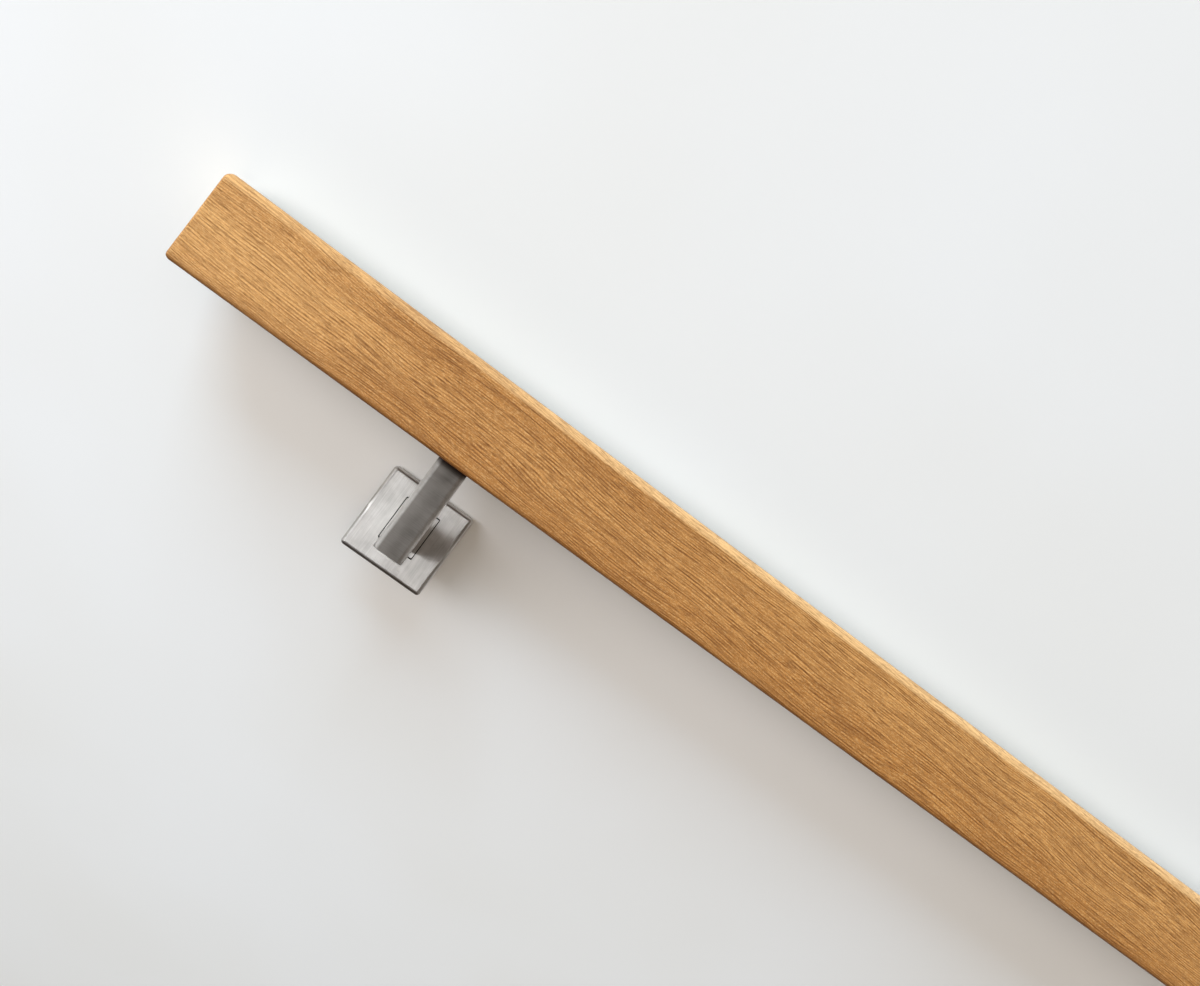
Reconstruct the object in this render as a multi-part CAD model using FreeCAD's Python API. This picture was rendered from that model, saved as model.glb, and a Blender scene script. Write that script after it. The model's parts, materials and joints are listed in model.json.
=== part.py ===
"""A sold length of solid oak stair handrail on its two square wall brackets, in millimetres.

The pieces are drawn as they are fixed to a wall, in the fixed frame: X runs along the rail,
Y goes into the wall, whose face is Y = 0, and Z rises square to the rail.  The last step lays
the whole thing down on its back, as it rests unheld: on the rims of its two roses and on the
rail's back upper arris.
"""

import FreeCAD, Part
import os
from math import asin, atan2, degrees, hypot

from FreeCAD import Placement, Rotation, Vector

# Rail
RAIL_LENGTH = 1200.0
RAIL_DEPTH = 40.0
RAIL_HEIGHT = 60.0
RAIL_TOP_ARRIS_RADIUS = 5.0
RAIL_LOWER_ARRIS_RADIUS = 3.0
RAIL_END_TOP_RADIUS = 4.5
RAIL_END_LOWER_RADIUS = 3.0
RAIL_END_UPRIGHT_RADIUS = 2.0

# Where the brackets carry the rail
BRACKET_INSET = 196.0
RAIL_STAND_OFF = 55.0
RAIL_RISE = 55.0

# Rose: the square cover that clips over the wall plate
ROSE_SIZE = 63.0
ROSE_DEPTH = 6.0
ROSE_WALL = 1.5
ROSE_EDGE_RADIUS = 2.8
SMALLEST_INNER_RADIUS = 0.5
CUTOUT_WIDTH = 27.0
CUTOUT_HEIGHT = 33.0
CUTOUT_RAISE = 2.3
CUTOUT_CORNER_RADIUS = 0.8

# Wall plate and the boss that fills the rose's cut-out
PLATE_THICKNESS = 4.0
PLATE_CLEARANCE = 0.3
BOSS_SIDE_GAP = 0.65
BOSS_END_GAP = 1.0
WALL_HOLE_DIAMETER = 5.0
WALL_HOLE_SINK_DIAMETER = 9.5
WALL_HOLE_SPACING = 42.0

# Arm: a square bar with a mitred corner, its upright leg rounded more along the front
ARM_SIZE = 20.0
ARM_EDGE_RADIUS = 1.0
ARM_FRONT_RADIUS = 3.5

# Saddle, welded across the arm's end and let in flush with the rail's underside
SADDLE_LENGTH = 64.0
SADDLE_WIDTH = 20.0
SADDLE_THICKNESS = 4.0
SADDLE_CORNER_RADIUS = 3.0
POCKET_CLEARANCE = 0.2

# Rail screws, through the saddle into the rail
SCREW_DIAMETER = 4.5
SCREW_HEAD_DIAMETER = 8.4
SCREW_LENGTH = 30.0
SCREW_END_DISTANCE = 10.0
SCREW_CLEARANCE = 0.15

UP = Vector(0, 0, 1)
INTO_WALL = Vector(0, 1, 0)
AHEAD = 1.0

ARM_OUT = RAIL_STAND_OFF + RAIL_DEPTH / 2
SADDLE_TOP = RAIL_RISE + SADDLE_THICKNESS


def block(width, near, far, bottom, top):
    """A box centred on X = 0 that reaches from near to far out from the wall."""
    return Part.makeBox(width, far - near, top - bottom, Vector(-width / 2, -far, bottom))


def straight_edges(shape, along):
    """The straight edges of a shape that run along one of the axes X, Y or Z."""
    spans = [(e, (e.BoundBox.XLength, e.BoundBox.YLength, e.BoundBox.ZLength)) for e in shape.Edges]
    axis = "XYZ".index(along)
    return [e for e, span in spans if span[axis] > 1e-3 and span[axis] > sum(span) - 1e-6]


def front_edges(shape):
    """The edges round a shape's front face, the one furthest out from the wall."""
    front = shape.BoundBox.YMin
    return [e for e in shape.Edges if e.BoundBox.YMax < front + 1e-6]


def square_block(side, far):
    """A square block that stands on the wall, centred on the rose."""
    return block(side, 0, far, -side / 2, side / 2)


def rounded_slab(length, width, bottom, top, corner_radius):
    """A flat bar under the rail's middle, with rounded corners in plan."""
    slab = block(length, ARM_OUT - width / 2, ARM_OUT + width / 2, bottom, top)
    return slab.makeFillet(corner_radius, straight_edges(slab, "Z"))


def countersunk(shank_diameter, head_diameter, start, direction, length, grow=0.0):
    """A countersunk screw's envelope, or its hole when it is grown, from the head's face."""
    shank_radius = shank_diameter / 2 + grow
    head_radius = head_diameter / 2 + grow
    shank = Part.makeCylinder(shank_radius, length, start, direction)
    head = Part.makeCone(head_radius, shank_radius, head_radius - shank_radius, start, direction)
    return shank.fuse(head).removeSplitter()


def screw_places():
    """Where the two rail screws stand, each at its distance from an end of the saddle."""
    reach = SADDLE_LENGTH / 2 - SCREW_END_DISTANCE
    return (-reach, reach)


def rail_screw(place):
    """A wood screw driven up through the saddle into the rail."""
    start = Vector(place, -ARM_OUT, RAIL_RISE)
    return countersunk(SCREW_DIAMETER, SCREW_HEAD_DIAMETER, start, UP, SCREW_LENGTH)


def inner_edge_radius():
    """The radius left inside the rose's rounded corners once its wall is taken off."""
    return max(ROSE_EDGE_RADIUS - ROSE_WALL, SMALLEST_INNER_RADIUS)


def wall_plate():
    """The plate that is screwed to the wall, with the boss that the arm is welded to."""
    side = ROSE_SIZE - 2 * (ROSE_WALL + PLATE_CLEARANCE)
    plate = square_block(side, PLATE_THICKNESS)
    plate = plate.makeFillet(inner_edge_radius(), straight_edges(plate, "Y"))
    boss_reach = CUTOUT_HEIGHT / 2 - BOSS_END_GAP
    boss_width = CUTOUT_WIDTH - 2 * BOSS_SIDE_GAP
    boss = block(boss_width, 0, ROSE_DEPTH, CUTOUT_RAISE - boss_reach, CUTOUT_RAISE + boss_reach)
    plate = plate.fuse(boss).removeSplitter()
    depth = PLATE_THICKNESS + AHEAD
    for x in (-WALL_HOLE_SPACING / 2, WALL_HOLE_SPACING / 2):
        for z in (-WALL_HOLE_SPACING / 2, WALL_HOLE_SPACING / 2):
            start = Vector(x, -PLATE_THICKNESS, z)
            hole = countersunk(WALL_HOLE_DIAMETER, WALL_HOLE_SINK_DIAMETER, start, INTO_WALL, depth)
            plate = plate.cut(hole)
    return plate


def rose():
    """The thin square cover, open at the back, with the cut-out that clears the arm's bend."""
    inner_side = ROSE_SIZE - 2 * ROSE_WALL
    outer = square_block(ROSE_SIZE, ROSE_DEPTH)
    outer = outer.makeFillet(ROSE_EDGE_RADIUS, straight_edges(outer, "Y") + front_edges(outer))
    inner = square_block(inner_side, ROSE_DEPTH - ROSE_WALL)
    inner = inner.makeFillet(inner_edge_radius(), straight_edges(inner, "Y"))
    cutout = block(
        CUTOUT_WIDTH,
        0,
        ROSE_DEPTH + AHEAD,
        CUTOUT_RAISE - CUTOUT_HEIGHT / 2,
        CUTOUT_RAISE + CUTOUT_HEIGHT / 2,
    )
    cutout = cutout.makeFillet(CUTOUT_CORNER_RADIUS, straight_edges(cutout, "Y"))
    return outer.cut(inner).cut(cutout)


def above_mitre():
    """The space on the upright leg's side of the arm's mitre, wider than the arm."""
    half = ARM_SIZE / 2
    reach = ARM_OUT + RAIL_RISE
    inner = Vector(-ARM_SIZE, half - ARM_OUT, half)
    up_and_in = Vector(0, reach, reach)
    down_and_out = Vector(0, -reach, -reach)
    side = [inner + up_and_in, inner + down_and_out, inner + down_and_out + UP * 2 * reach]
    return Part.Face(Part.makePolygon(side + side[:1])).extrude(Vector(2 * ARM_SIZE, 0, 0))


def arm():
    """The bar from the boss, out from the wall, round its mitred corner and up to the saddle."""
    half = ARM_SIZE / 2
    level = block(ARM_SIZE, ROSE_DEPTH, ARM_OUT + half, -half, half)
    level = level.makeFillet(ARM_EDGE_RADIUS, straight_edges(level, "Y"))
    upright = block(ARM_SIZE, ARM_OUT - half, ARM_OUT + half, -half, RAIL_RISE)
    front = [edge for edge in straight_edges(upright, "Z") if edge.CenterOfMass.y < -ARM_OUT]
    upright = upright.makeFillet(ARM_FRONT_RADIUS, front)
    back = [edge for edge in straight_edges(upright, "Z") if edge.CenterOfMass.y > -ARM_OUT]
    upright = upright.makeFillet(ARM_EDGE_RADIUS, back)
    return level.cut(above_mitre()).fuse(upright.common(above_mitre())).removeSplitter()


def saddle():
    """The plate across the arm's end, with a countersunk hole for a rail screw at each end."""
    plate = rounded_slab(SADDLE_LENGTH, SADDLE_WIDTH, RAIL_RISE, SADDLE_TOP, SADDLE_CORNER_RADIUS)
    depth = SADDLE_THICKNESS + AHEAD
    for place in screw_places():
        start = Vector(place, -ARM_OUT, RAIL_RISE)
        hole = countersunk(SCREW_DIAMETER, SCREW_HEAD_DIAMETER, start, UP, depth, SCREW_CLEARANCE)
        plate = plate.cut(hole)
    return plate


def rail_blank():
    """The sawn and planed bar with all twelve of its edges eased, each to its own radius."""
    bar = block(
        RAIL_LENGTH, RAIL_STAND_OFF, RAIL_STAND_OFF + RAIL_DEPTH, RAIL_RISE, RAIL_RISE + RAIL_HEIGHT
    )
    middle = RAIL_RISE + RAIL_HEIGHT / 2
    radii = {
        ("X", True): RAIL_TOP_ARRIS_RADIUS,
        ("X", False): RAIL_LOWER_ARRIS_RADIUS,
        ("Y", True): RAIL_END_TOP_RADIUS,
        ("Y", False): RAIL_END_LOWER_RADIUS,
        ("Z", True): RAIL_END_UPRIGHT_RADIUS,
        ("Z", False): RAIL_END_UPRIGHT_RADIUS,
    }
    rows = []
    for number, edge in enumerate(bar.Edges, start=1):
        box = edge.BoundBox
        along = max("XYZ", key=lambda axis: getattr(box, axis + "Length"))
        radius = radii[along, box.Center.z > middle]
        rows.append((number, radius, radius))
    document = FreeCAD.newDocument("rail")
    base = document.addObject("Part::Feature", "base")
    base.Shape = bar
    eased = document.addObject("Part::Fillet", "eased")
    eased.Base = base
    eased.Edges = rows
    document.recompute()
    shape = eased.Shape.copy()
    FreeCAD.closeDocument(document.Name)
    return shape


def handrail(bracket_centres):
    """The rail with a pocket for each saddle and a pilot hole for each screw."""
    rail = rail_blank()
    pocket = rounded_slab(
        SADDLE_LENGTH + 2 * POCKET_CLEARANCE,
        SADDLE_WIDTH + 2 * POCKET_CLEARANCE,
        RAIL_RISE - AHEAD,
        SADDLE_TOP,
        SADDLE_CORNER_RADIUS + POCKET_CLEARANCE,
    )
    pilot_radius = SCREW_DIAMETER / 2 + SCREW_CLEARANCE
    for centre in bracket_centres:
        rail = rail.cut(pocket.translated(Vector(centre, 0, 0)))
        for place in screw_places():
            foot = Vector(centre + place, -ARM_OUT, RAIL_RISE)
            rail = rail.cut(Part.makeCylinder(pilot_radius, SCREW_LENGTH, foot, UP))
    return rail


def bracket(name, centre):
    """One bracket's six pieces, by node name, at its place along the rail."""
    pieces = {
        "wall_plate": wall_plate(),
        "rose": rose(),
        "arm": arm(),
        "saddle": saddle(),
    }
    for number, place in enumerate(screw_places(), start=1):
        pieces[f"rail_screw_{number}"] = rail_screw(place)
    along = Vector(centre, 0, 0)
    return {f"{name}_{piece}": shape.translated(along) for piece, shape in pieces.items()}


def lean_angle():
    """How far the wall's plane leans from level when the part lies on its back, in degrees.

    The floor is the line from the rose's upper back edge that touches the rail's rounded back
    upper arris, both seen along the rail.
    """
    up_to_arris = RAIL_RISE + RAIL_HEIGHT - RAIL_TOP_ARRIS_RADIUS - ROSE_SIZE / 2
    out_to_arris = RAIL_STAND_OFF + RAIL_TOP_ARRIS_RADIUS
    reach = hypot(up_to_arris, out_to_arris)
    return degrees(atan2(out_to_arris, up_to_arris) - asin(RAIL_TOP_ARRIS_RADIUS / reach))


def resting_placement(pieces):
    """Turn the part onto its back, front towards -Y, and bring its lowest middle to the origin."""
    on_its_back = Rotation(Vector(1, 0, 0), -(90.0 + lean_angle()))
    about_turn = Rotation(UP, 180.0)
    turned = Placement(Vector(), about_turn.multiply(on_its_back))
    whole = Part.makeCompound([shape.copy() for shape in pieces.values()])
    whole.Placement = turned
    box = whole.optimalBoundingBox(False)
    return Placement(Vector(-box.Center.x, -box.Center.y, -box.ZMin), Rotation()).multiply(turned)


def build():
    """Every piece by node name, in the fixed frame, and the placement that lays them down."""
    reach = RAIL_LENGTH / 2 - BRACKET_INSET
    centres = {"upper": -reach, "lower": reach}
    pieces = {"handrail": handrail(centres.values())}
    for name, centre in centres.items():
        pieces.update(bracket(name, centre))
    return pieces, resting_placement(pieces)


def main():
    """Build the pieces, lay them down and write one file for each."""
    os.makedirs("parts", exist_ok=True)
    pieces, resting = build()
    for name, shape in pieces.items():
        shape.Placement = resting.multiply(shape.Placement)
        shape.exportStep(f"parts/{name}.step")
        print(f"{name}: {len(shape.Solids)} solid, {shape.Volume / 1000:.2f} cm3, valid {shape.isValid()}")


main()
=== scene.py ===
"""Looks of a stair handrail length on its two wall brackets.

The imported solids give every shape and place. This script dresses them in oak and satin steel, sets
detailed wood screws where the plain ones stand, and adds the floor, the soft studio light and the
camera at the photograph's viewing angle. Lengths are in metres.
"""

import json
import logging
import math
from dataclasses import dataclass
from enum import Enum
from typing import Any

import bmesh
import bpy
from mathutils import Matrix, Vector


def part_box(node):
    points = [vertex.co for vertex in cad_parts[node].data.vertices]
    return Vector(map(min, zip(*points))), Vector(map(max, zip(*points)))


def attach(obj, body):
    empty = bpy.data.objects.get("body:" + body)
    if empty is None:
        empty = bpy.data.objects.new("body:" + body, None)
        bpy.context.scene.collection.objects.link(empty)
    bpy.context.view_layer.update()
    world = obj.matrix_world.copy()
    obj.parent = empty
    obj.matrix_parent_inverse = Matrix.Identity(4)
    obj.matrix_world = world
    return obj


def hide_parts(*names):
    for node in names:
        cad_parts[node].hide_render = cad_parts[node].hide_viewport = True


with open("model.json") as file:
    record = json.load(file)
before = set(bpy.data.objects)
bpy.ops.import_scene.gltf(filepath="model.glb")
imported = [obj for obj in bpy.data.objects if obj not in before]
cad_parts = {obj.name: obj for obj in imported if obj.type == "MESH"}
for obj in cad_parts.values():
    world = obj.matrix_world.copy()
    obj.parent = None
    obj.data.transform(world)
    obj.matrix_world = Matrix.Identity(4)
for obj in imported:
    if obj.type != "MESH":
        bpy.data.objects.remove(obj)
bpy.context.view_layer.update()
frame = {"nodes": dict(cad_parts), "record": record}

# A stretch is how many patches to the metre a pattern has each way. A span is where a mask starts
# and where it is full. A ramp is a span and then the mask's value at its two ends.
Colour = tuple[float, float, float, float]
Stretch = tuple[float, float, float]
Span = tuple[float, float]
Ramp = tuple[float, float, float, float]
log = logging.getLogger("handrail")


def srgb(red: int, green: int, blue: int) -> Colour:
    """Turn a screen colour into the linear colour that a shader takes.

    Args:
        red: Red from 0 to 255.
        green: Green from 0 to 255.
        blue: Blue from 0 to 255.

    Returns:
        The linear colour, with an alpha of 1.
    """
    parts = [level / 255 for level in (red, green, blue)]
    linear = [p / 12.92 if p <= 0.04045 else ((p + 0.055) / 1.055) ** 2.4 for p in parts]
    return (linear[0], linear[1], linear[2], 1.0)


class ShaderTree:
    """Adds nodes to one shader tree and joins them."""

    def __init__(self, tree: bpy.types.NodeTree) -> None:
        """Keep the tree that the nodes go into."""
        self.tree = tree

    def fill(self, node: bpy.types.Node, inputs: dict[Any, Any]) -> None:
        """Join sockets to a node's inputs, or set the inputs' values.

        Args:
            node: The node.
            inputs: Sockets to join, or values to set, by the input's name or number.
        """
        for name, value in inputs.items():
            if isinstance(value, bpy.types.NodeSocket):
                self.tree.links.new(value, node.inputs[name])
            else:
                node.inputs[name].default_value = value

    def add(self, kind: str, inputs: dict[Any, Any] | None = None, **settings: Any) -> bpy.types.Node:
        """Add one node.

        Args:
            kind: The node's type name.
            inputs: Sockets to join, or values to set, by the input's name or number.
            **settings: The node's own fields.

        Returns:
            The new node.
        """
        node = self.tree.nodes.new(kind)
        for name, value in settings.items():
            setattr(node, name, value)
        self.fill(node, inputs or {})
        return node

    def maths(self, operation: str, first: Any, second: Any = 0.0) -> bpy.types.NodeSocket:
        """Join two values with one Math node.

        Args:
            operation: The Math node's operation.
            first: The first value or socket.
            second: The second value or socket.

        Returns:
            The answer's socket.
        """
        return self.add("ShaderNodeMath", {0: first, 1: second}, operation=operation).outputs[0]

    def multiply(self, first: Any, second: Any) -> bpy.types.NodeSocket:
        """Multiply two values."""
        return self.maths("MULTIPLY", first, second)

    def vectors(
        self, operation: str, first: Any, second: Any = (0.0, 0.0, 0.0)
    ) -> bpy.types.NodeSocket:
        """Join two vectors with one Vector Math node.

        Args:
            operation: The Vector Math node's operation.
            first: The first vector or socket.
            second: The second vector or socket.

        Returns:
            The answer's socket, a value for a dot product or a length and a vector otherwise.
        """
        node = self.add("ShaderNodeVectorMath", {0: first, 1: second}, operation=operation)
        return node.outputs["Value" if operation in ("DOT_PRODUCT", "LENGTH") else "Vector"]

    def facing(self, way: Any) -> bpy.types.NodeSocket:
        """Tell how far the surface faces a way, from -1 to 1."""
        normal = self.add("ShaderNodeTexCoord").outputs["Normal"]
        return self.vectors("DOT_PRODUCT", normal, way)

    def noise(self, vector: Any, stretch: Stretch, detail: float = 2.0) -> bpy.types.NodeSocket:
        """Lay a noise over the coordinates, stretched a different amount each way.

        Args:
            vector: Coordinates in metres.
            stretch: Patches of the noise to the metre, each way.
            detail: How many finer layers the noise has.

        Returns:
            The noise's value, around 0.5.
        """
        spread = self.vectors("MULTIPLY", vector, stretch)
        node = self.add("ShaderNodeTexNoise", {"Vector": spread, "Scale": 1.0, "Detail": detail})
        return node.outputs["Fac"]

    def cells(self, vector: Any, stretch: Stretch) -> bpy.types.NodeSocket:
        """Lay stretched cells over the coordinates.

        Args:
            vector: Coordinates in metres.
            stretch: Cells to the metre, each way.

        Returns:
            The distance from the middle of a point's own cell.
        """
        spread = self.vectors("MULTIPLY", vector, stretch)
        node = self.add("ShaderNodeTexVoronoi", {"Vector": spread, "Scale": 1.0})
        return node.outputs["Distance"]

    def between(
        self, value: Any, low: float, high: float, start: float = 0.0, end: float = 1.0
    ) -> bpy.types.NodeSocket:
        """Stretch a value's range smoothly and hold it there.

        Args:
            value: The socket to stretch.
            low: The value that becomes start.
            high: The value that becomes end.
            start: The answer at the low value.
            end: The answer at the high value.

        Returns:
            The answer's socket.
        """
        node = self.add(
            "ShaderNodeMapRange",
            {"Value": value, "From Min": low, "From Max": high, "To Min": start, "To Max": end},
            interpolation_type="SMOOTHSTEP",
        )
        return node.outputs["Result"]

    def blend(self, mask: Any, under: Any, over: Any) -> bpy.types.NodeSocket:
        """Lay one colour over another through a mask.

        Args:
            mask: How much of the upper colour shows.
            under: The lower colour or socket.
            over: The upper colour or socket.

        Returns:
            The blended colour's socket.
        """
        return self.add("ShaderNodeMix", {0: mask, 6: under, 7: over}, data_type="RGBA").outputs[2]


def new_group(
    name: str, outputs: tuple[str, ...]
) -> tuple[ShaderTree, bpy.types.NodeSocket, bpy.types.Node]:
    """Start a shader group that reads one vector and puts out values.

    Args:
        name: The group's name.
        outputs: The names of its outputs.

    Returns:
        The group's tree, its vector input inside the group, and its output node.
    """
    group = bpy.data.node_groups.new(name, "ShaderNodeTree")
    group.interface.new_socket("Vector", in_out="INPUT", socket_type="NodeSocketVector")
    for output in outputs:
        group.interface.new_socket(output, in_out="OUTPUT", socket_type="NodeSocketFloat")
    tree = ShaderTree(group)
    return tree, tree.add("NodeGroupInput").outputs["Vector"], tree.add("NodeGroupOutput")


def new_material(name: str) -> tuple[bpy.types.Material, ShaderTree, bpy.types.Node]:
    """Start a material with a Principled shader.

    Args:
        name: The material's name.

    Returns:
        The material, its tree and its shader.
    """
    material = bpy.data.materials.new(name)
    material.use_nodes = True
    tree = ShaderTree(material.node_tree)
    return material, tree, material.node_tree.nodes["Principled BSDF"]


@dataclass(frozen=True)
class Place:
    """Where a bracket stands: its place on the wall and the three ways out from it."""

    origin: Vector
    along: Vector
    across: Vector
    out: Vector

    @classmethod
    def of_bracket(cls, name: str) -> "Place":
        """Read a bracket's place from the record's mounts.

        Args:
            name: The bracket's name.

        Returns:
            The place, with along down the stair, across up over the rail and out from the wall.
        """
        mount = next(m for m in frame["record"]["mounts"] if m["name"] == f"{name}_wall_face")
        out = -Vector(mount["axis"])
        along = Vector((-1.0, 0.0, 0.0))
        return cls(Vector(mount["pos_m"]), along, out.cross(along), out)

    def direction(self, along: float, across: float, out: float) -> Vector:
        """Turn a direction at the bracket into one in the row's frame."""
        return self.along * along + self.across * across + self.out * out

    def point(self, along: float, across: float, out: float) -> Vector:
        """Turn a point at the bracket into one in the row's frame."""
        return self.origin + self.direction(along, across, out)

    def turn(self) -> Matrix:
        """Give the turn from the bracket's axes to the row's."""
        return Matrix((self.along, self.across, self.out)).transposed()

    def coordinates(self, tree: ShaderTree) -> bpy.types.NodeSocket:
        """Give a material coordinates along, across and out from the bracket.

        Args:
            tree: The material's tree.

        Returns:
            The coordinates' socket, in metres.
        """
        seen = tree.add("ShaderNodeTexCoord").outputs["Object"]
        inputs = {"Vector": seen, "Location": self.origin, "Rotation": self.turn().to_euler("XYZ")}
        return tree.add("ShaderNodeMapping", inputs, vector_type="TEXTURE").outputs["Vector"]

    def seat(self, tree: ShaderTree) -> bpy.types.bpy_prop_collection:
        """Give a material its three distances from the bracket.

        Args:
            tree: The material's tree.

        Returns:
            The distances' sockets in metres: along the rail, across it and out from the wall.
        """
        return tree.add("ShaderNodeSeparateXYZ", {0: self.coordinates(tree)}).outputs


class Bracket(Enum):
    """The two wall brackets, by the first word of their nodes."""

    UPPER = "upper"
    LOWER = "lower"


class Brushing(Enum):
    """Which way a face was brushed: the highlight's turn, and the lines' stretch each way."""

    UP = (0.25, (2400.0, 60.0, 2400.0))
    ALONG = (0.0, (70.0, 2000.0, 2000.0))

    @property
    def turn(self) -> float:
        """Give the highlight's turn, as a share of a full one."""
        return self.value[0]

    @property
    def stretch(self) -> Stretch:
        """Give the lines to the metre, each way."""
        return self.value[1]


@dataclass(frozen=True)
class OakFigure:
    """The figure of rift-sawn oak: growth rings, fine streaks, pores and pale flecks."""

    name: str = "oak_figure"
    pith: tuple[float, float, float] = (0.0, -0.085, -0.06)
    slope: float = 0.044
    drift: Stretch = (9.0, 26.0, 26.0)
    drift_reach: float = 0.011
    rings: Stretch = (1.6, 300.0, 1.0)
    ring_span: Span = (0.32, 0.68)
    ring_width: float = 0.00112
    ring_line: Span = (-0.5, 0.8)
    waver: Stretch = (8.0, 130.0, 1.0)
    waver_reach: float = 6.0
    broken: Stretch = (90.0, 900.0, 900.0)
    broken_ramp: Ramp = (0.3, 0.6, 0.2, 1.0)
    threads: Stretch = (18.0, 1400.0, 1400.0)
    thread_span: Span = (0.42, 0.6)
    line_share: float = 0.5
    broad: Stretch = (3.0, 30.0, 30.0)
    broad_span: Span = (0.3, 0.7)
    pores: Stretch = (170.0, 1700.0, 1700.0)
    pore_span: Span = (0.42, 0.16)
    flecks: Stretch = (820.0, 1700.0, 1700.0)
    fleck_span: Span = (0.46, 0.64)
    end_rings: Stretch = (0.0, 420.0, 1.0)
    end_ring_span: Span = (0.4, 0.6)
    end_pores: Stretch = (10.0, 2200.0, 2200.0)
    end_pore_span: Span = (0.4, 0.15)

    def group(self) -> bpy.types.NodeTree:
        """Build the shader group once.

        Returns:
            The group, which reads coordinates along, across and out in metres.
        """
        if self.name in bpy.data.node_groups:
            return bpy.data.node_groups[self.name]
        names = ("Rings", "Broad", "Streaks", "Pores", "Flecks", "End Rings", "End Pores")
        tree, vector, end = new_group(self.name, names)
        grain = self._grain(tree, vector)
        radius = self._radius(tree, grain)
        run = tree.add("ShaderNodeSeparateXYZ", {0: grain}).outputs[0]
        ring = tree.add("ShaderNodeCombineXYZ", {0: run, 1: radius}).outputs[0]
        tree.fill(end, {
            "Rings": tree.between(tree.noise(ring, self.rings, 3.0), *self.ring_span),
            "Broad": tree.between(tree.noise(grain, self.broad), *self.broad_span),
            "Streaks": self._streaks(tree, grain, ring, radius),
            "Pores": tree.between(tree.cells(grain, self.pores), *self.pore_span),
            "Flecks": tree.between(tree.noise(grain, self.flecks), *self.fleck_span),
            "End Rings": tree.between(tree.noise(ring, self.end_rings, 1.0), *self.end_ring_span),
            "End Pores": tree.between(tree.cells(grain, self.end_pores), *self.end_pore_span),
        })
        return tree.tree

    def _grain(self, tree: ShaderTree, vector: bpy.types.NodeSocket) -> bpy.types.NodeSocket:
        """Slope the fibres across the rail and let them drift.

        Args:
            tree: The group's tree.
            vector: The group's coordinates.

        Returns:
            Coordinates that follow the fibres.
        """
        run = tree.add("ShaderNodeSeparateXYZ", {0: vector}).outputs[0]
        rise = tree.add("ShaderNodeCombineXYZ", {1: tree.multiply(run, self.slope)}).outputs[0]
        sloped = tree.vectors("ADD", vector, rise)
        spread = tree.vectors("MULTIPLY", sloped, self.drift)
        drift = tree.add("ShaderNodeTexNoise", {"Vector": spread, "Scale": 1.0, "Detail": 1.0})
        shift = tree.vectors("SUBTRACT", drift.outputs["Color"], (0.5, 0.5, 0.5))
        reach = (0.0, self.drift_reach, self.drift_reach)
        return tree.vectors("ADD", sloped, tree.vectors("MULTIPLY", shift, reach))

    def _radius(self, tree: ShaderTree, grain: bpy.types.NodeSocket) -> bpy.types.NodeSocket:
        """Measure how far a point is from the tree's pith."""
        from_pith = tree.vectors("SUBTRACT", grain, self.pith)
        return tree.vectors("LENGTH", tree.vectors("MULTIPLY", from_pith, (0.0, 1.0, 1.0)))

    def _streaks(
        self,
        tree: ShaderTree,
        grain: bpy.types.NodeSocket,
        ring: bpy.types.NodeSocket,
        radius: bpy.types.NodeSocket,
    ) -> bpy.types.NodeSocket:
        """Draw a dark line for each ring, broken here and there, with finer threads between.

        Args:
            tree: The group's tree.
            grain: Coordinates that follow the fibres.
            ring: Coordinates along the rail and out from the pith.
            radius: The distance from the pith.

        Returns:
            The lines' mask.
        """
        waver = tree.multiply(tree.noise(ring, self.waver, detail=1.0), self.waver_reach)
        turns = tree.multiply(radius, math.tau / self.ring_width)
        comb = tree.maths("SINE", tree.maths("ADD", turns, waver))
        kept = tree.between(tree.noise(grain, self.broken, detail=1.0), *self.broken_ramp)
        ring_lines = tree.multiply(tree.between(comb, *self.ring_line), kept)
        threads = tree.between(tree.noise(grain, self.threads, detail=1.0), *self.thread_span)
        return tree.multiply(tree.maths("ADD", ring_lines, threads), self.line_share)


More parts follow.
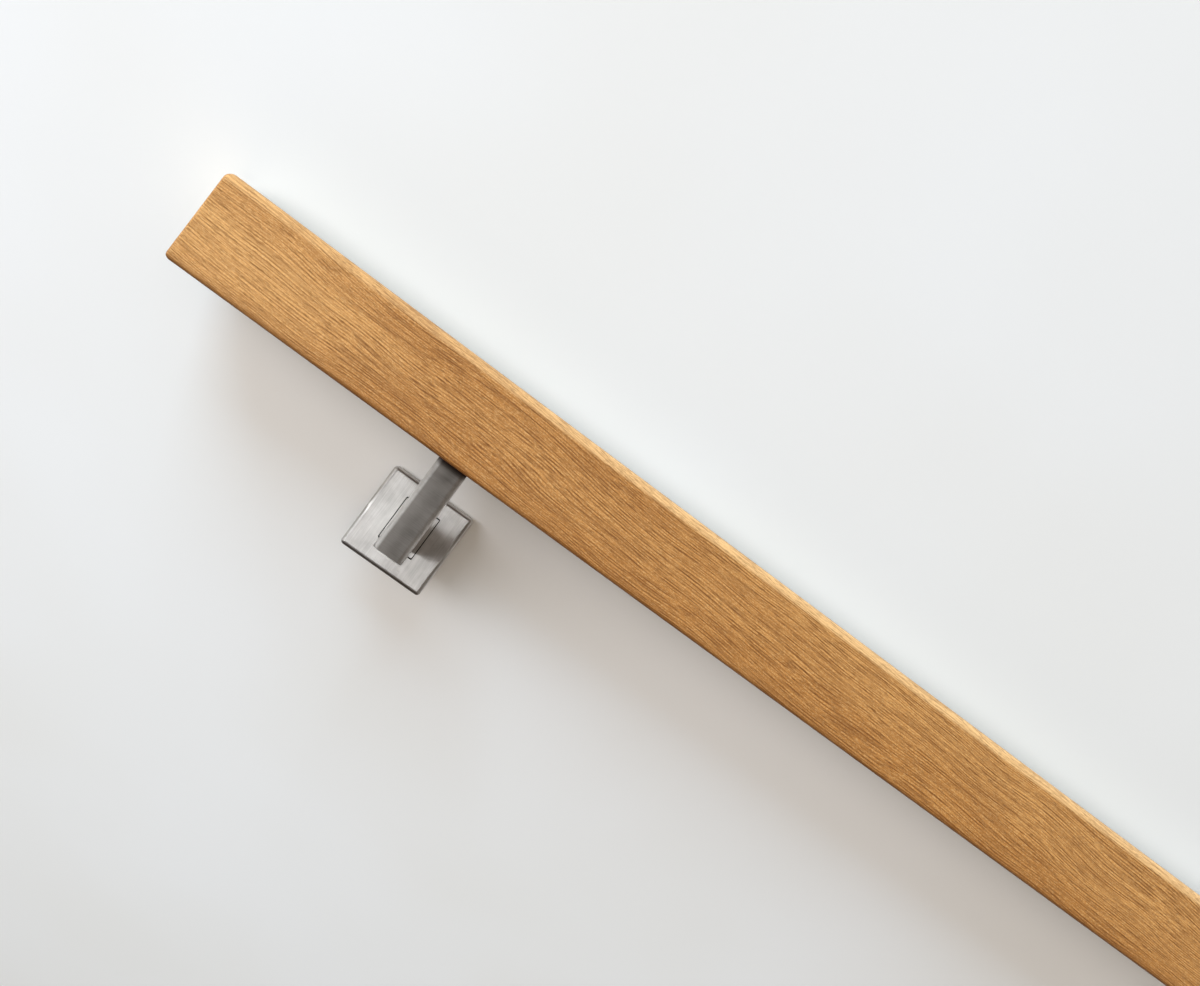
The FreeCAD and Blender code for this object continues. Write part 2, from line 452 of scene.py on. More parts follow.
@dataclass(frozen=True)
class OiledOak:
    """Oiled oak with a satin surface: paler along its upper edge, partly wear and partly a painted
    highlight, with painted shade along its lower edge and painted shade and light along its length.
    """

    name: str = "oiled_oak"
    gold: Colour = srgb(206, 154, 91)
    brown: Colour = srgb(166, 112, 56)
    broad_share: float = 0.42
    # Painted shade and light along the rail: browner along it, paler at the near end.
    painted_shade_along: Ramp = (-0.14, -0.02, 0.17, 0.82)
    painted_light_near_end: Ramp = (0.02, 0.35, 0.0, 0.22)
    ring_brown: Colour = srgb(158, 104, 49)
    ring_share: float = 0.24
    fleck_gold: Colour = srgb(222, 180, 121)
    fleck_share: float = 0.3
    streak_brown: Colour = srgb(100, 55, 18)
    end_streaks: Ramp = (-0.17, -0.03, 0.72, 1.0)
    pore_brown: Colour = srgb(96, 57, 25)
    pore_share: float = 0.5
    # Paler gold band along the upper edge: partly wear, partly a highlight painted where light falls on
    # the edge.
    wear_and_highlight_gold: Colour = srgb(228, 187, 132)
    wear_and_highlight_share: float = 0.56
    wear_and_highlight_streaks: Ramp = (0.0, 1.0, 0.9, 0.45)
    wear_and_highlight_along: Ramp = (-0.15, 0.1, 0.5, 1.0)
    wear_and_highlight_facing: Span = (0.05, 0.45)
    wear_and_highlight_below: Span = (0.007, 0.0045)
    upper_edge: float = 0.115
    outward_facing: Span = (0.05, 0.4)
    # Painted shade: the lower edge, and the face just above it, darkened where shade falls.
    shade_brown: Colour = srgb(110, 66, 28)
    painted_shade_share: float = 0.6
    painted_shade_facing: Span = (-0.25, -0.8)
    painted_shade_above: float = 0.009
    painted_shade_low: float = 0.35
    lower_edge: float = 0.055
    face_out: float = 0.095
    face_depth: Span = (0.01, 0.004)
    end_gold: Colour = srgb(176, 126, 78)
    end_brown: Colour = srgb(128, 84, 48)
    end_pore_share: float = 0.6
    end_facing: Span = (0.75, 0.95)
    # Colours that only diffuse rays see: painted bounce light on the floor, paler above the rail and
    # warmer below it.
    bounce_pale: Colour = srgb(132, 123, 109)
    bounce_warm: Colour = srgb(255, 234, 204)
    bounce_facing: Span = (-0.3, 0.3)
    smooth: float = 0.42
    rough: float = 0.6
    gloss: float = 0.35
    relief: float = 0.0001
    relief_strength: float = 0.6
    pore_depth: float = 1.5

    def material(self, place: Place) -> bpy.types.Material:
        """Make the material for a rail that runs along a bracket's own axes.

        Args:
            place: The bracket's place, which gives the grain its ways.

        Returns:
            The oak material.
        """
        material, tree, shader = new_material(self.name)
        coordinates = {"Vector": place.coordinates(tree)}
        part = tree.add("ShaderNodeGroup", coordinates, node_tree=OakFigure().group()).outputs
        seat = place.seat(tree)
        upward = tree.facing(place.across)
        colour = self._plain(tree, part, seat)
        # Paint the paler upper edge: wear and a painted highlight.
        wear_and_highlight = self._wear_and_highlight(tree, seat, upward, tree.facing(place.out))
        colour = tree.blend(tree.multiply(wear_and_highlight, self.wear_and_highlight_share), colour, self.wear_and_highlight_gold)
        streaked = tree.multiply(part["Streaks"], tree.between(wear_and_highlight, *self.wear_and_highlight_streaks))
        streaked = tree.multiply(streaked, tree.between(seat[0], *self.end_streaks))
        colour = tree.blend(streaked, colour, self.streak_brown)
        colour = tree.blend(tree.multiply(part["Pores"], self.pore_share), colour, self.pore_brown)
        # Paint shade along the lower edge.
        colour = tree.blend(self._painted_lower_shade(tree, seat, upward), colour, self.shade_brown)
        on_end = tree.between(tree.maths("ABSOLUTE", tree.facing(place.along)), *self.end_facing)
        colour = tree.blend(on_end, colour, self._end_colour(tree, part))
        # Diffuse rays see these colours instead of the oak's: painted bounce light.
        above = tree.between(upward, *self.bounce_facing)
        bounced = tree.blend(above, self.bounce_warm, self.bounce_pale)
        bounce = tree.add("ShaderNodeLightPath").outputs["Is Diffuse Ray"]
        height = tree.maths("ADD", part["Streaks"], tree.multiply(part["Pores"], self.pore_depth))
        relief = {"Height": height, "Distance": self.relief, "Strength": self.relief_strength}
        tree.fill(shader, {
            "Base Color": tree.blend(bounce, colour, bounced),
            "Roughness": tree.between(part["Streaks"], 0.0, 1.0, self.smooth, self.rough),
            "Normal": tree.add("ShaderNodeBump", relief, invert=True).outputs["Normal"],
            "Specular IOR Level": self.gloss,
        })
        return material

    def _plain(
        self, tree: ShaderTree, part: bpy.types.bpy_prop_collection, seat: bpy.types.bpy_prop_collection
    ) -> bpy.types.NodeSocket:
        """Colour the clean wood with its rings and flecks, with painted shade browning it along the
        rail and painted light paling it at the near end.

        Args:
            tree: The material's tree.
            part: The figure's masks.
            seat: The distances from the bracket.

        Returns:
            The colour's socket.
        """
        tone = tree.multiply(part["Broad"], self.broad_share)
        # The broad tone is the wood's own; the ramps along the rail add painted shade and light.
        tone = tree.maths("ADD", tone, tree.between(seat[0], *self.painted_shade_along))
        tone = tree.maths("SUBTRACT", tone, tree.between(seat[0], *self.painted_light_near_end))
        colour = tree.blend(tone, self.gold, self.brown)
        colour = tree.blend(tree.multiply(part["Rings"], self.ring_share), colour, self.ring_brown)
        return tree.blend(tree.multiply(part["Flecks"], self.fleck_share), colour, self.fleck_gold)

    def _wear_and_highlight(
        self,
        tree: ShaderTree,
        seat: bpy.types.bpy_prop_collection,
        upward: bpy.types.NodeSocket,
        outward: bpy.types.NodeSocket,
    ) -> bpy.types.NodeSocket:
        """Mark the pale band along the upper edge of the rail's face, partly wear and partly a painted
        highlight.

        Args:
            tree: The material's tree.
            seat: The distances from the bracket.
            upward: How far the surface faces up over the rail.
            outward: How far the surface faces out from the wall.

        Returns:
            The mask's socket.
        """
        band = tree.between(seat[1], *(self.upper_edge - below for below in self.wear_and_highlight_below))
        wear_and_highlight = tree.maths("MAXIMUM", tree.between(upward, *self.wear_and_highlight_facing), band)
        wear_and_highlight = tree.multiply(wear_and_highlight, tree.between(outward, *self.outward_facing))
        return tree.multiply(wear_and_highlight, tree.between(seat[0], *self.wear_and_highlight_along))

    def _painted_lower_shade(
        self, tree: ShaderTree, seat: bpy.types.bpy_prop_collection, upward: bpy.types.NodeSocket
    ) -> bpy.types.NodeSocket:
        """Mark the painted shade along the lower edge, only near the rail's face.

        Args:
            tree: The material's tree.
            seat: The distances from the bracket.
            upward: How far the surface faces up over the rail.

        Returns:
            The mask's socket.
        """
        under = tree.multiply(tree.between(upward, *self.painted_shade_facing), self.painted_shade_share)
        start = self.lower_edge + self.painted_shade_above
        low = tree.between(seat[1], start, self.lower_edge, 0.0, self.painted_shade_low)
        near_face = tree.between(seat[2], *(self.face_out - depth for depth in self.face_depth))
        return tree.multiply(tree.maths("MAXIMUM", under, low), near_face)

    def _end_colour(
        self, tree: ShaderTree, part: bpy.types.bpy_prop_collection
    ) -> bpy.types.NodeSocket:
        """Colour the sawn ends, where rings and pores show crosswise."""
        colour = tree.blend(part["End Rings"], self.end_gold, self.end_brown)
        pores = tree.multiply(part["End Pores"], self.end_pore_share)
        return tree.blend(pores, colour, self.pore_brown)


@dataclass(frozen=True)
class MetalGrain:
    """Fine brushed lines and a cloudy bloom, shared by every metal finish."""

    name: str = "metal_grain"
    broadening: float = 4.0
    bloom: Stretch = (70.0, 70.0, 70.0)
    span: Span = (0.3, 0.7)

    def group(self, brushing: Brushing) -> bpy.types.NodeTree:
        """Build the shader group once for each way of brushing.

        Args:
            brushing: Which way the lines run.

        Returns:
            The group, which reads coordinates along, across and out in metres.
        """
        name = f"{self.name}_{brushing.name.lower()}"
        if name in bpy.data.node_groups:
            return bpy.data.node_groups[name]
        tree, vector, end = new_group(name, ("Lines", "Broad Lines", "Bloom"))
        broad = tuple(part / self.broadening for part in brushing.stretch)
        tree.fill(end, {
            "Lines": tree.between(tree.noise(vector, brushing.stretch), *self.span),
            "Broad Lines": tree.between(tree.noise(vector, broad), *self.span),
            "Bloom": tree.between(tree.noise(vector, self.bloom, detail=3.0), *self.span),
        })
        return tree.tree


@dataclass(frozen=True)
class Gap:
    """The narrow gap between the rose's cut-out and the wall plate's raised boss, where shade is
    painted dark.
    """

    half_width: float = 0.0136
    half_height: float = 0.0166
    rim: float = 0.0012
    raised: float = 0.0023
    face_out: float = 0.0056

    def mask(self, tree: ShaderTree, place: Place) -> bpy.types.NodeSocket:
        """Mark the gap's floor and the walls that face each other across it.

        Args:
            tree: The material's tree.
            place: The bracket's place.

        Returns:
            The mask's socket, 1 inside the gap.
        """
        seat = place.seat(tree)
        aside = tree.maths("ABSOLUTE", seat[0])
        up = tree.maths("ABSOLUTE", tree.maths("SUBTRACT", seat[1], self.raised))
        inside = tree.multiply(
            tree.maths("LESS_THAN", aside, self.half_width),
            tree.maths("LESS_THAN", up, self.half_height),
        )
        outside_boss = tree.maths(
            "MAXIMUM",
            tree.maths("GREATER_THAN", aside, self.half_width - self.rim),
            tree.maths("GREATER_THAN", up, self.half_height - self.rim),
        )
        sunk = tree.maths("LESS_THAN", seat[2], self.face_out)
        return tree.multiply(tree.multiply(inside, outside_boss), sunk)


@dataclass(frozen=True)
class Steel:
    """A metal finish: its tones, how rough it is, and where it gets a painted highlight, painted shade
    and brown reflection on its lower rim, or painted shade under the rail.
    """

    name: str
    brushing: Brushing
    pale: Colour = srgb(208, 206, 203)
    dull: Colour = srgb(170, 168, 165)
    line_share: float = 0.4
    bloom_share: float = 0.6
    # Painted shade for the gap round the boss.
    painted_gap_shade: Colour = srgb(30, 28, 26)
    # Painted highlight: the colour, share and span by which the face is paled towards its left edge.
    painted_highlight_white: Colour = srgb(252, 251, 249)
    left_painted_highlight: float = 0.0
    left_span: Span = (0.002, -0.0065)
    # Painted shade and reflection: the rim darkened brown where it faces down.
    rim_shade_and_reflection: Colour = srgb(60, 42, 27)
    rim_shade_and_reflection_share: float = 0.0
    rim_outward: Span = (0.0, 0.25)
    rim_downward: Span = (0.2, 0.75)
    # Painted shade: the arm's face darkened where it meets the rail's underside.
    under_rail: Colour = srgb(38, 18, 8)
    rail_shade: float = 0.0
    shade_outward: Span = (0.0, 0.5)
    shade_across: Span = (0.049, 0.0555)
    smooth: float = 0.33
    rough: float = 0.42
    directional: float = 0.97
    metal: float = 1.0
    relief: float = 0.00002
    relief_strength: float = 0.5

    def material(self, place: Place) -> bpy.types.Material:
        """Make the material for metal that lies along a bracket's own axes.

        Args:
            place: The bracket's place, which gives the brushing its way.

        Returns:
            The metal material.
        """
        material, tree, shader = new_material(self.name)
        coordinates = {"Vector": place.coordinates(tree)}
        grain = MetalGrain().group(self.brushing)
        part = tree.add("ShaderNodeGroup", coordinates, node_tree=grain).outputs
        metal = self._aged(tree, part, place)
        relief = {"Height": part["Lines"], "Distance": self.relief, "Strength": self.relief_strength}
        tangent = tree.add("ShaderNodeTangent", direction_type="RADIAL", axis="X")
        tree.fill(shader, {
            # Paint shade into the gap round the boss.
            "Base Color": tree.blend(Gap().mask(tree, place), metal, self.painted_gap_shade),
            "Roughness": tree.between(part["Broad Lines"], 0.0, 1.0, self.smooth, self.rough),
            "Normal": tree.add("ShaderNodeBump", relief).outputs["Normal"],
            "Tangent": tangent.outputs["Tangent"],
            "Metallic": self.metal,
            "Anisotropic": self.directional,
            "Anisotropic Rotation": self.brushing.turn,
        })
        return material

    def _aged(
        self, tree: ShaderTree, part: bpy.types.bpy_prop_collection, place: Place
    ) -> bpy.types.NodeSocket:
        """Colour the metal, with its painted highlight, the painted shade and brown reflection on its
        lower rim and its painted shade under the rail.

        Args:
            tree: The material's tree.
            part: The grain's masks.
            place: The bracket's place.

        Returns:
            The colour's socket.
        """
        lines = tree.multiply(part["Lines"], self.line_share)
        mottle = tree.maths("ADD", lines, tree.multiply(part["Bloom"], self.bloom_share))
        metal = tree.blend(mottle, self.pale, self.dull)
        seat = place.seat(tree)
        # Paint a highlight along the left edge of the face.
        left = tree.between(seat[0], *self.left_span, 0.0, self.left_painted_highlight)
        metal = tree.blend(left, metal, self.painted_highlight_white)
        outward = tree.facing(place.out)
        downward = tree.facing(-place.across)
        # Paint shade and a brown reflection on the downward-facing rim.
        rim = tree.multiply(
            tree.between(outward, *self.rim_outward), tree.between(downward, *self.rim_downward)
        )
        metal = tree.blend(tree.multiply(rim, self.rim_shade_and_reflection_share), metal, self.rim_shade_and_reflection)
        # Paint shade on the arm's outward face just under the rail.
        shaded = tree.between(outward, *self.shade_outward, 0.0, self.rail_shade)
        near_rail = tree.between(seat[1], *self.shade_across)
        return tree.blend(tree.multiply(shaded, near_rail), metal, self.under_rail)


# Points nearer than the first are one point, and a point nearer to the head's face than the second
# lies in it.
SAME_POINT = 1e-6
FLAT = 1e-7


@dataclass(frozen=True)
class WoodScrew:
    """A countersunk wood screw with a cross recess and a cut thread, head face at zero and point up."""

    head_radius: float = 0.0042
    shank_radius: float = 0.00225
    core_radius: float = 0.00155
    length: float = 0.03
    head_edge: float = 0.00025
    edge_slope: float = 0.4
    plain_length: float = 0.011
    neck_length: float = 0.0006
    point_length: float = 0.005
    recess_reach: float = 0.0021
    recess_half_width: float = 0.00045
    recess_depth: float = 0.0016
    recess_taper: float = 0.45
    pitch: float = 0.0018
    thread_start: float = 0.001
    thread_half_width: float = 0.0005
    thread_sunk: float = 0.00015
    sides: int = 24
    thread_sides: int = 16

    def build(self, name: str, place: Matrix, turned: float) -> bpy.types.Object:
        """Build the screw in its place.

        Args:
            name: The piece's name.
            place: The turn and place of the screw's own axes.
            turned: How far the recess is turned, in radians.

        Returns:
            The screw as one object with its place in its mesh.
        """
        shape = bmesh.new()
        rim = self._body(shape)
        self._recess(shape, rim)
        self._thread(shape)
        bmesh.ops.remove_doubles(shape, verts=shape.verts, dist=SAME_POINT)
        bmesh.ops.recalc_face_normals(shape, faces=shape.faces)
        about = Matrix.Rotation(turned, 3, "Z")
        bmesh.ops.rotate(shape, verts=shape.verts, cent=(0, 0, 0), matrix=about)
        bmesh.ops.transform(shape, matrix=place, verts=shape.verts)
        mesh = bpy.data.meshes.new(name)
        shape.to_mesh(mesh)
        shape.free()
        piece = bpy.data.objects.new(name, mesh)
        bpy.context.scene.collection.objects.link(piece)
        return piece

    def _body(self, shape: bmesh.types.BMesh) -> list[bmesh.types.BMEdge]:
        """Spin the head and the shank from half an outline.

        Args:
            shape: The mesh that is being built.

        Returns:
            The edges round the head's face, where the recess joins on.
        """
        neck = self.head_radius - self.shank_radius
        outline = [
            (self.head_radius - self.head_edge, 0.0),
            (self.head_radius, self.head_edge * self.edge_slope),
            (self.shank_radius, neck),
            (self.shank_radius, self.plain_length),
            (self.core_radius, self.plain_length + self.neck_length),
            (self.core_radius, self.length - self.point_length),
            (0.0, self.length),
        ]
        points = [shape.verts.new((radius, 0.0, height)) for radius, height in outline]
        edges = [shape.edges.new(pair) for pair in zip(points, points[1:])]
        bmesh.ops.spin(
            shape, geom=points + edges, cent=(0, 0, 0), axis=(0, 0, 1), dvec=(0, 0, 0),
            angle=math.tau, steps=self.sides, use_merge=True, use_duplicate=False,
        )
        return [edge for edge in shape.edges if all(abs(v.co.z) < FLAT for v in edge.verts)]

    def _recess(self, shape: bmesh.types.BMesh, rim: list[bmesh.types.BMEdge]) -> None:
        """Close the head's face round a tapered cross recess.

        Args:
            shape: The mesh that is being built.
            rim: The edges round the head's face.
        """
        made = bmesh.ops.create_grid(shape, x_segments=3, y_segments=3, size=1.0)
        for point in made["verts"]:
            for axis in (0, 1):
                reach = self.recess_reach if abs(point.co[axis]) > 0.5 else self.recess_half_width
                point.co[axis] = math.copysign(reach, point.co[axis])
        faces = list({face for point in made["verts"] for face in point.link_faces})
        corners = [
            face for face in faces
            if min(abs(part) for part in face.calc_center_median()[:2]) > self.recess_half_width
        ]
        cross = [face for face in faces if face not in corners]
        bmesh.ops.delete(shape, geom=corners, context="FACES")
        outer = [edge for face in cross for edge in face.edges if edge.is_boundary]
        bmesh.ops.subdivide_edges(shape, edges=outer, cuts=1, use_grid_fill=False)
        cross = [face for face in shape.faces if abs(face.calc_center_median().z) < FLAT]
        outer = [edge for face in cross for edge in face.edges if edge.is_boundary]
        bmesh.ops.bridge_loops(shape, edges=rim + outer)
        sunk = bmesh.ops.extrude_face_region(shape, geom=cross)
        floor = [part for part in sunk["geom"] if isinstance(part, bmesh.types.BMVert)]
        bmesh.ops.delete(shape, geom=cross, context="FACES_ONLY")
        bmesh.ops.scale(shape, verts=floor, vec=(self.recess_taper, self.recess_taper, 1.0))
        bmesh.ops.translate(shape, verts=floor, vec=(0.0, 0.0, self.recess_depth))

    def _thread(self, shape: bmesh.types.BMesh) -> None:
        """Wind the cut thread round the core.

        Args:
            shape: The mesh that is being built.
        """
        start = self.plain_length + self.thread_start
        turns = int((self.length - self.point_length - start) / self.pitch)
        foot = self.core_radius - self.thread_sunk
        half = self.thread_half_width
        corners = [(foot, start - half), (foot, start + half), (self.shank_radius, start)]
        points = [shape.verts.new((radius, 0.0, height)) for radius, height in corners]
        first = shape.faces.new(points)
        steps = turns * self.thread_sides
        wound = bmesh.ops.spin(
            shape, geom=list(first.edges) + points, cent=(0, 0, 0), axis=(0, 0, 1),
            dvec=(0, 0, self.pitch / self.thread_sides), angle=math.tau * turns, steps=steps,
            use_merge=False, use_duplicate=False,
        )
        last = [part for part in wound["geom_last"] if isinstance(part, bmesh.types.BMEdge)]
        bmesh.ops.holes_fill(shape, edges=last, sides=3)


@dataclass
class Handrail:
    """The oak rail."""

    finish: OiledOak
    node: str = "handrail"

    def dress(self, place: Place) -> None:
        """Give the rail its oak.

        Args:
            place: The upper bracket's place, which gives the grain its ways.
        """
        dress_node(self.node, self.finish.material(place))


@dataclass
class WallBracket:
    """One bracket: wall plate, rose, arm, saddle and the two screws into the rail."""

    name: Bracket
    place: Place
    screw: WoodScrew
    saddle_underside: float = 0.055
    arm_out: float = 0.075
    screw_reach: float = 0.022
    screw_turns: tuple[float, float] = (0.35, 1.1)

    def dress(self, finishes: dict[str, bpy.types.Material]) -> None:
        """Give each steel piece its finish.

        Args:
            finishes: The material for each piece's name.
        """
        for piece, material in finishes.items():
            dress_node(f"{self.name.value}_{piece}", material)

    def fit_screws(self, finish: bpy.types.Material) -> None:
        """Set a detailed screw in place of each plain one.

        Args:
            finish: The screws' material.
        """
        for number, turned in enumerate(self.screw_turns, 1):
            node = f"{self.name.value}_rail_screw_{number}"
            low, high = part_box(node)
            middle = ((low + high) / 2 - self.place.origin).dot(self.place.along)
            along = math.copysign(self.screw_reach, middle)
            start = self.place.point(along, self.saddle_underside, self.arm_out)
            axes = Matrix((self.place.out, self.place.along, self.place.across))
            stand = Matrix.Translation(start) @ axes.transposed().to_4x4()
            piece = self.screw.build(f"{node}_cut", stand, turned)
            piece.data.materials.append(finish)
            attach(piece, "root")
            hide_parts(node)
            log.info("%s: %d faces", piece.name, len(piece.data.polygons))


def dress_node(name: str, material: bpy.types.Material) -> None:
    """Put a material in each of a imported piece's slots.

    Args:
        name: The node's name.
        material: The material it gets.
    """
    node = frame["nodes"][name]
    for held in node.material_slots:
        held.material = material
    log.info("%s: dressed in %s", name, material.name)


class Reach(Enum):
    """What a light does: it lights matt surfaces, or it is mirrored in glossy ones."""

    MATT = (True, False)
    GLOSS = (False, True)


@dataclass(frozen=True)
class SoftLight:
    """A soft box, placed by its way out from the upper bracket, its width turned along the rail."""

    name: str
    way: tuple[float, float, float]
    distance: float
    size: tuple[float, float]
    watts: float
    colour: tuple[float, float, float]
    reach: Reach
    spread: float = math.pi
    only_on: tuple[str, ...] = ()

    def build(self, place: Place, aim: Vector) -> None:
        """Hang the light and turn it to the object.

        Args:
            place: The upper bracket's place, which the way is measured in.
            aim: The point that the light looks at.
        """
        way = place.direction(*self.way).normalized()
        data = bpy.data.lights.new(self.name, "AREA")
        data.shape = "RECTANGLE"
        data.size, data.size_y = self.size
        data.energy = self.watts
        data.color = self.colour
        data.spread = self.spread
        lamp = bpy.data.objects.new(self.name, data)
        wide = (place.along - way * place.along.dot(way)).normalized()
        turn = Matrix((wide, way.cross(wide), way)).transposed().to_4x4()
        lamp.matrix_world = Matrix.Translation(aim + way * self.distance) @ turn
        lamp.visible_diffuse, lamp.visible_glossy = self.reach.value
        if self.only_on:
            lit = bpy.data.collections.new(f"{self.name}_lights")
            for node in self.only_on:
                lit.objects.link(frame["nodes"][node])
            lamp.light_linking.receiver_collection = lit
        bpy.context.scene.collection.objects.link(lamp)
        log.info("%s: %.0f W from (%.2f, %.2f, %.2f)", self.name, self.watts, *lamp.location)


@dataclass(frozen=True)
class Studio:
    """The pale floor and the even light of the room."""

    floor_size: float = 12.0
    floor_cells: int = 8
    floor_pale: Colour = srgb(242, 243, 243)
    floor_warm: Colour = srgb(239, 239, 237)
    floor_cloud: Stretch = (3.0, 3.0, 3.0)
    cloud_span: Span = (0.3, 0.7)
    floor_rough: float = 0.9
    floor_gloss: float = 0.1
    above: Colour = (0.372, 0.358, 0.342, 1.0)
    skyline: Colour = (0.75, 0.71, 0.67, 1.0)
    skyline_span: Span = (0.3, 0.05)
    left: Colour = (0.95, 0.93, 0.91, 1.0)
    left_span: Span = (0.05, -0.75)
    right: Colour = (0.3, 0.27, 0.24, 1.0)
    right_span: Span = (0.6, 0.9)
    band: Colour = (0.26, 0.19, 0.145, 1.0)
    band_rise: float = -0.11
    band_off: Span = (0.16, 0.08)
    band_aside: Span = (0.05, 0.25)
    below: Colour = (0.06, 0.032, 0.014, 1.0)
    below_way: tuple[float, float, float] = (0.1, -0.97, 0.2)
    below_span: Span = (0.3, 0.7)
    warmth: tuple[float, float, float] = (1.14, 1.12, 1.045)
    backdrop: Colour = (0.86, 0.86, 0.85, 1.0)

    def floor(self) -> None:
        """Lay the plain floor that the object lies on."""
        shape = bmesh.new()
        cells = self.floor_cells
        bmesh.ops.create_grid(shape, x_segments=cells, y_segments=cells, size=self.floor_size / 2)
        mesh = bpy.data.meshes.new("floor")
        shape.to_mesh(mesh)
        shape.free()
        floor = bpy.data.objects.new("floor", mesh)
        bpy.context.scene.collection.objects.link(floor)
        material, tree, shader = new_material("pale_floor")
        seen = tree.add("ShaderNodeTexCoord").outputs["Object"]
        cloud = tree.between(tree.noise(seen, self.floor_cloud), *self.cloud_span)
        tree.fill(shader, {
            "Base Color": tree.blend(cloud, self.floor_pale, self.floor_warm),
            "Roughness": self.floor_rough,
            "Specular IOR Level": self.floor_gloss,
        })
        mesh.materials.append(material)
        log.info("floor: laid")

    def room(self, place: Place) -> None:
        """Light the object from all round, with a plain backdrop behind it.

        The room is brightest on the left, pale along the skyline, and dim above and on the right. It
        has a warm band across the lower end's side, and it is dark brown below the rail.

        Args:
            place: The upper bracket's place, which the ways are measured in.
        """
        world = bpy.data.worlds.new("studio")
        bpy.context.scene.world = world
        world.use_nodes = True
        world.node_tree.nodes.clear()
        tree = ShaderTree(world.node_tree)
        way = tree.add("ShaderNodeTexCoord").outputs["Generated"]
        aside = tree.vectors("DOT_PRODUCT", way, place.along)
        room = tree.blend(tree.between(aside, *self.left_span), self.above, self.left)
        rise = tree.vectors("DOT_PRODUCT", way, place.across)
        off_band = tree.maths("ABSOLUTE", tree.maths("SUBTRACT", rise, self.band_rise))
        in_band = tree.between(off_band, *self.band_off)
        in_band = tree.multiply(tree.between(aside, *self.band_aside), in_band)
        room = tree.blend(in_band, room, self.band)
        room = tree.blend(tree.between(aside, *self.right_span), room, self.right)
        down = tree.vectors("DOT_PRODUCT", way, place.direction(*self.below_way).normalized())
        room = tree.blend(tree.between(down, *self.below_span), room, self.below)
        height = tree.vectors("DOT_PRODUCT", way, (0.0, 0.0, 1.0))
        room = tree.blend(tree.between(height, *self.skyline_span), room, self.skyline)
        matt = tree.add("ShaderNodeLightPath").outputs["Is Diffuse Ray"]
        room = tree.blend(matt, room, tree.vectors("MULTIPLY", room, self.warmth))
        light = tree.add("ShaderNodeBackground", {"Color": room})
        drop = tree.add("ShaderNodeBackground", {"Color": self.backdrop})
        seen = tree.add("ShaderNodeLightPath").outputs["Is Camera Ray"]
        both = tree.add("ShaderNodeMixShader", {0: seen, 1: light.outputs[0], 2: drop.outputs[0]})
        tree.add("ShaderNodeOutputWorld", {"Surface": both.outputs[0]})
        log.info("room: lit")


@dataclass(frozen=True)
class PhotoCamera:
    """The camera at the photograph's viewing angle, measured from the upper bracket."""

    eye: tuple[float, float, float] = (0.0074, 0.0739, 0.675)
    aim: tuple[float, float, float] = (0.08919, 0.09632, 0.0)
    stair_slope: float = math.radians(36.5508)
    lens_mm: float = 30.0
    sensor_mm: float = 36.0
    nearest: float = 0.01
    farthest: float = 50.0

    def build(self, place: Place) -> None:
        """Stand the camera so that the rail falls as steeply as in the photograph.

        Args:
            place: The upper bracket's place.
        """
        eye = place.point(*self.eye)
        ahead = (place.point(*self.aim) - eye).normalized()
        upright = place.direction(-math.sin(self.stair_slope), math.cos(self.stair_slope), 0.0)
        right = ahead.cross(upright).normalized()
        data = bpy.data.cameras.new("camera")
        data.sensor_fit = "HORIZONTAL"
        data.sensor_width = self.sensor_mm
        data.lens = self.lens_mm
        data.clip_start = self.nearest
        data.clip_end = self.farthest
        camera = bpy.data.objects.new("camera", data)
        turn = Matrix((right, right.cross(ahead), -ahead)).transposed()
        camera.matrix_world = Matrix.Translation(eye) @ turn.to_4x4()
        bpy.context.scene.collection.objects.link(camera)
        bpy.context.scene.camera = camera
        log.info("camera: at (%.3f, %.3f, %.3f)", *eye)


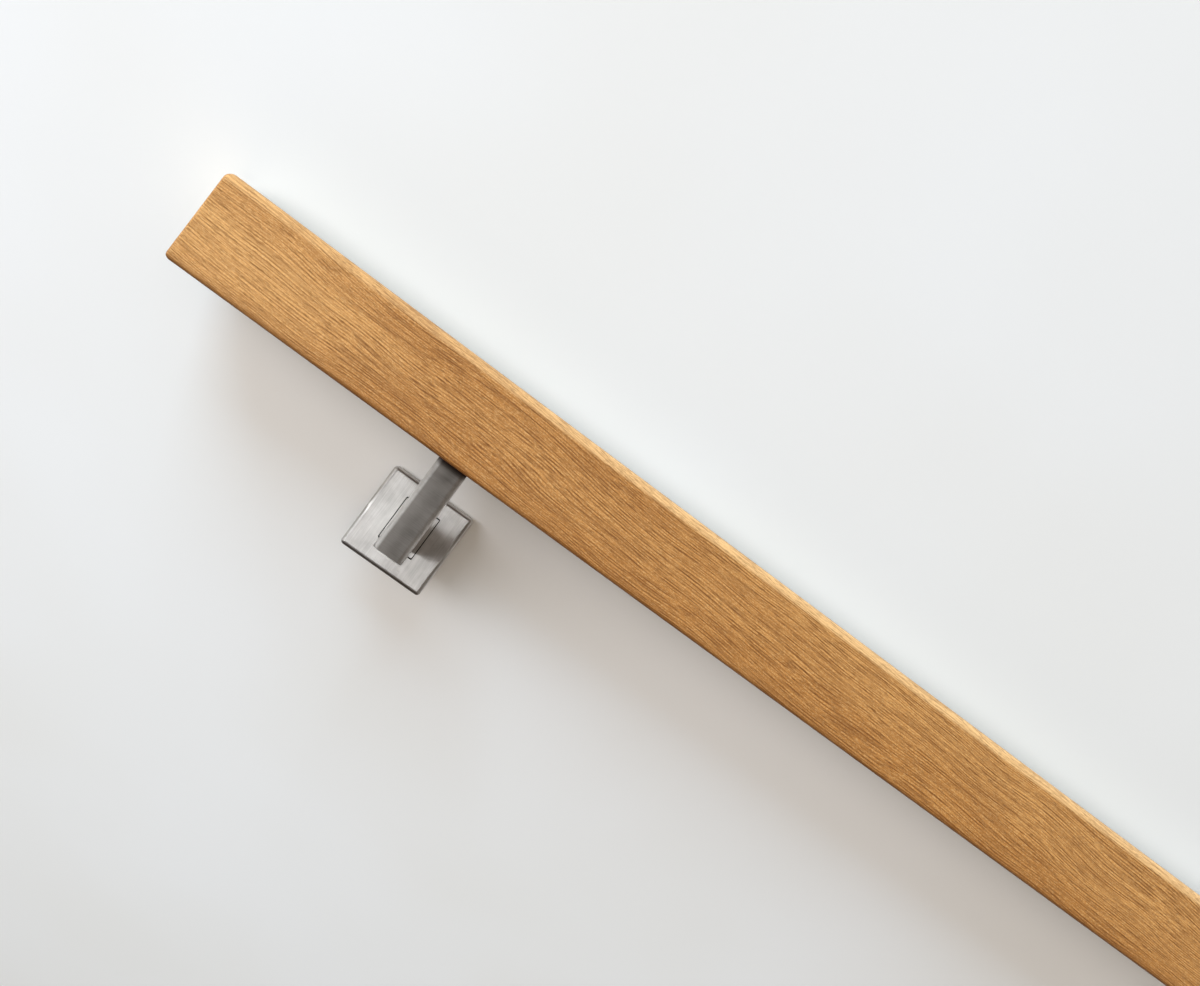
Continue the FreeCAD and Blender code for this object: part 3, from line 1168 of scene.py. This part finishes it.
LIGHT_AIM = (0.1, 0.05, 0.03)
SOFT_BOXES = (
    SoftLight(
        "window_side", way=(-0.74, -0.08, 0.67), distance=2.4, size=(2.6, 1.2),
        watts=31.2, colour=(0.94, 0.95, 1.0), reach=Reach.MATT,
    ),
    SoftLight(
        "window_bars", way=(-0.7, -0.12, 0.7), distance=2.4, size=(2.4, 0.45),
        watts=2.75, colour=(0.97, 0.985, 1.0), reach=Reach.GLOSS, spread=1.2,
        only_on=("upper_rose", "lower_rose", "upper_wall_plate", "lower_wall_plate"),
    ),
    SoftLight(
        "sky", way=(-0.35, 0.6, 0.72), distance=14.0, size=(6.8, 6.8),
        watts=2600.0, colour=(0.65, 0.83, 1.0), reach=Reach.MATT,
    ),
    SoftLight(
        "front", way=(0.05, 0.05, 0.99), distance=9.0, size=(5.0, 5.0),
        watts=155.0, colour=(1.0, 0.875, 0.745), reach=Reach.MATT,
    ),
)


def bracket_finishes(bracket: Bracket, place: Place) -> dict[str, bpy.types.Material]:
    """Make one bracket's steel finishes.

    Args:
        bracket: The bracket.
        place: Its place.

    Returns:
        The material for each piece's name.
    """
    name = bracket.value
    cover = Steel(f"{name}_cover_steel", Brushing.UP, rim_shade_and_reflection_share=0.85, metal=0.88).material(place)
    bar = Steel(f"{name}_bar_steel", Brushing.ALONG, left_painted_highlight=0.42, rim_shade_and_reflection_share=0.9, rail_shade=1.0)
    flat = Steel(f"{name}_flat_steel", Brushing.ALONG)
    return {
        "wall_plate": cover,
        "rose": cover,
        "arm": bar.material(place),
        "saddle": flat.material(place),
    }


def main() -> None:
    """Build the pieces, the studio and the camera in order."""
    logging.basicConfig(level=logging.INFO, format="%(message)s")
    places = {bracket: Place.of_bracket(bracket.value) for bracket in Bracket}
    upper = places[Bracket.UPPER]
    PhotoCamera().build(upper)
    Handrail(OiledOak()).dress(upper)
    zinc = Steel(
        "zinc_steel", Brushing.ALONG, pale=srgb(196, 200, 204), dull=srgb(170, 174, 180),
        smooth=0.22, rough=0.34, directional=0.2,
    )
    zinc_plate = zinc.material(upper)
    for bracket, place in places.items():
        made = WallBracket(bracket, place, WoodScrew())
        made.dress(bracket_finishes(bracket, place))
        made.fit_screws(zinc_plate)
    studio = Studio()
    studio.floor()
    studio.room(upper)
    for light in SOFT_BOXES:
        light.build(upper, upper.point(*LIGHT_AIM))
    bpy.context.scene.view_settings.view_transform = "Standard"


if __name__ == "__main__":
    main()
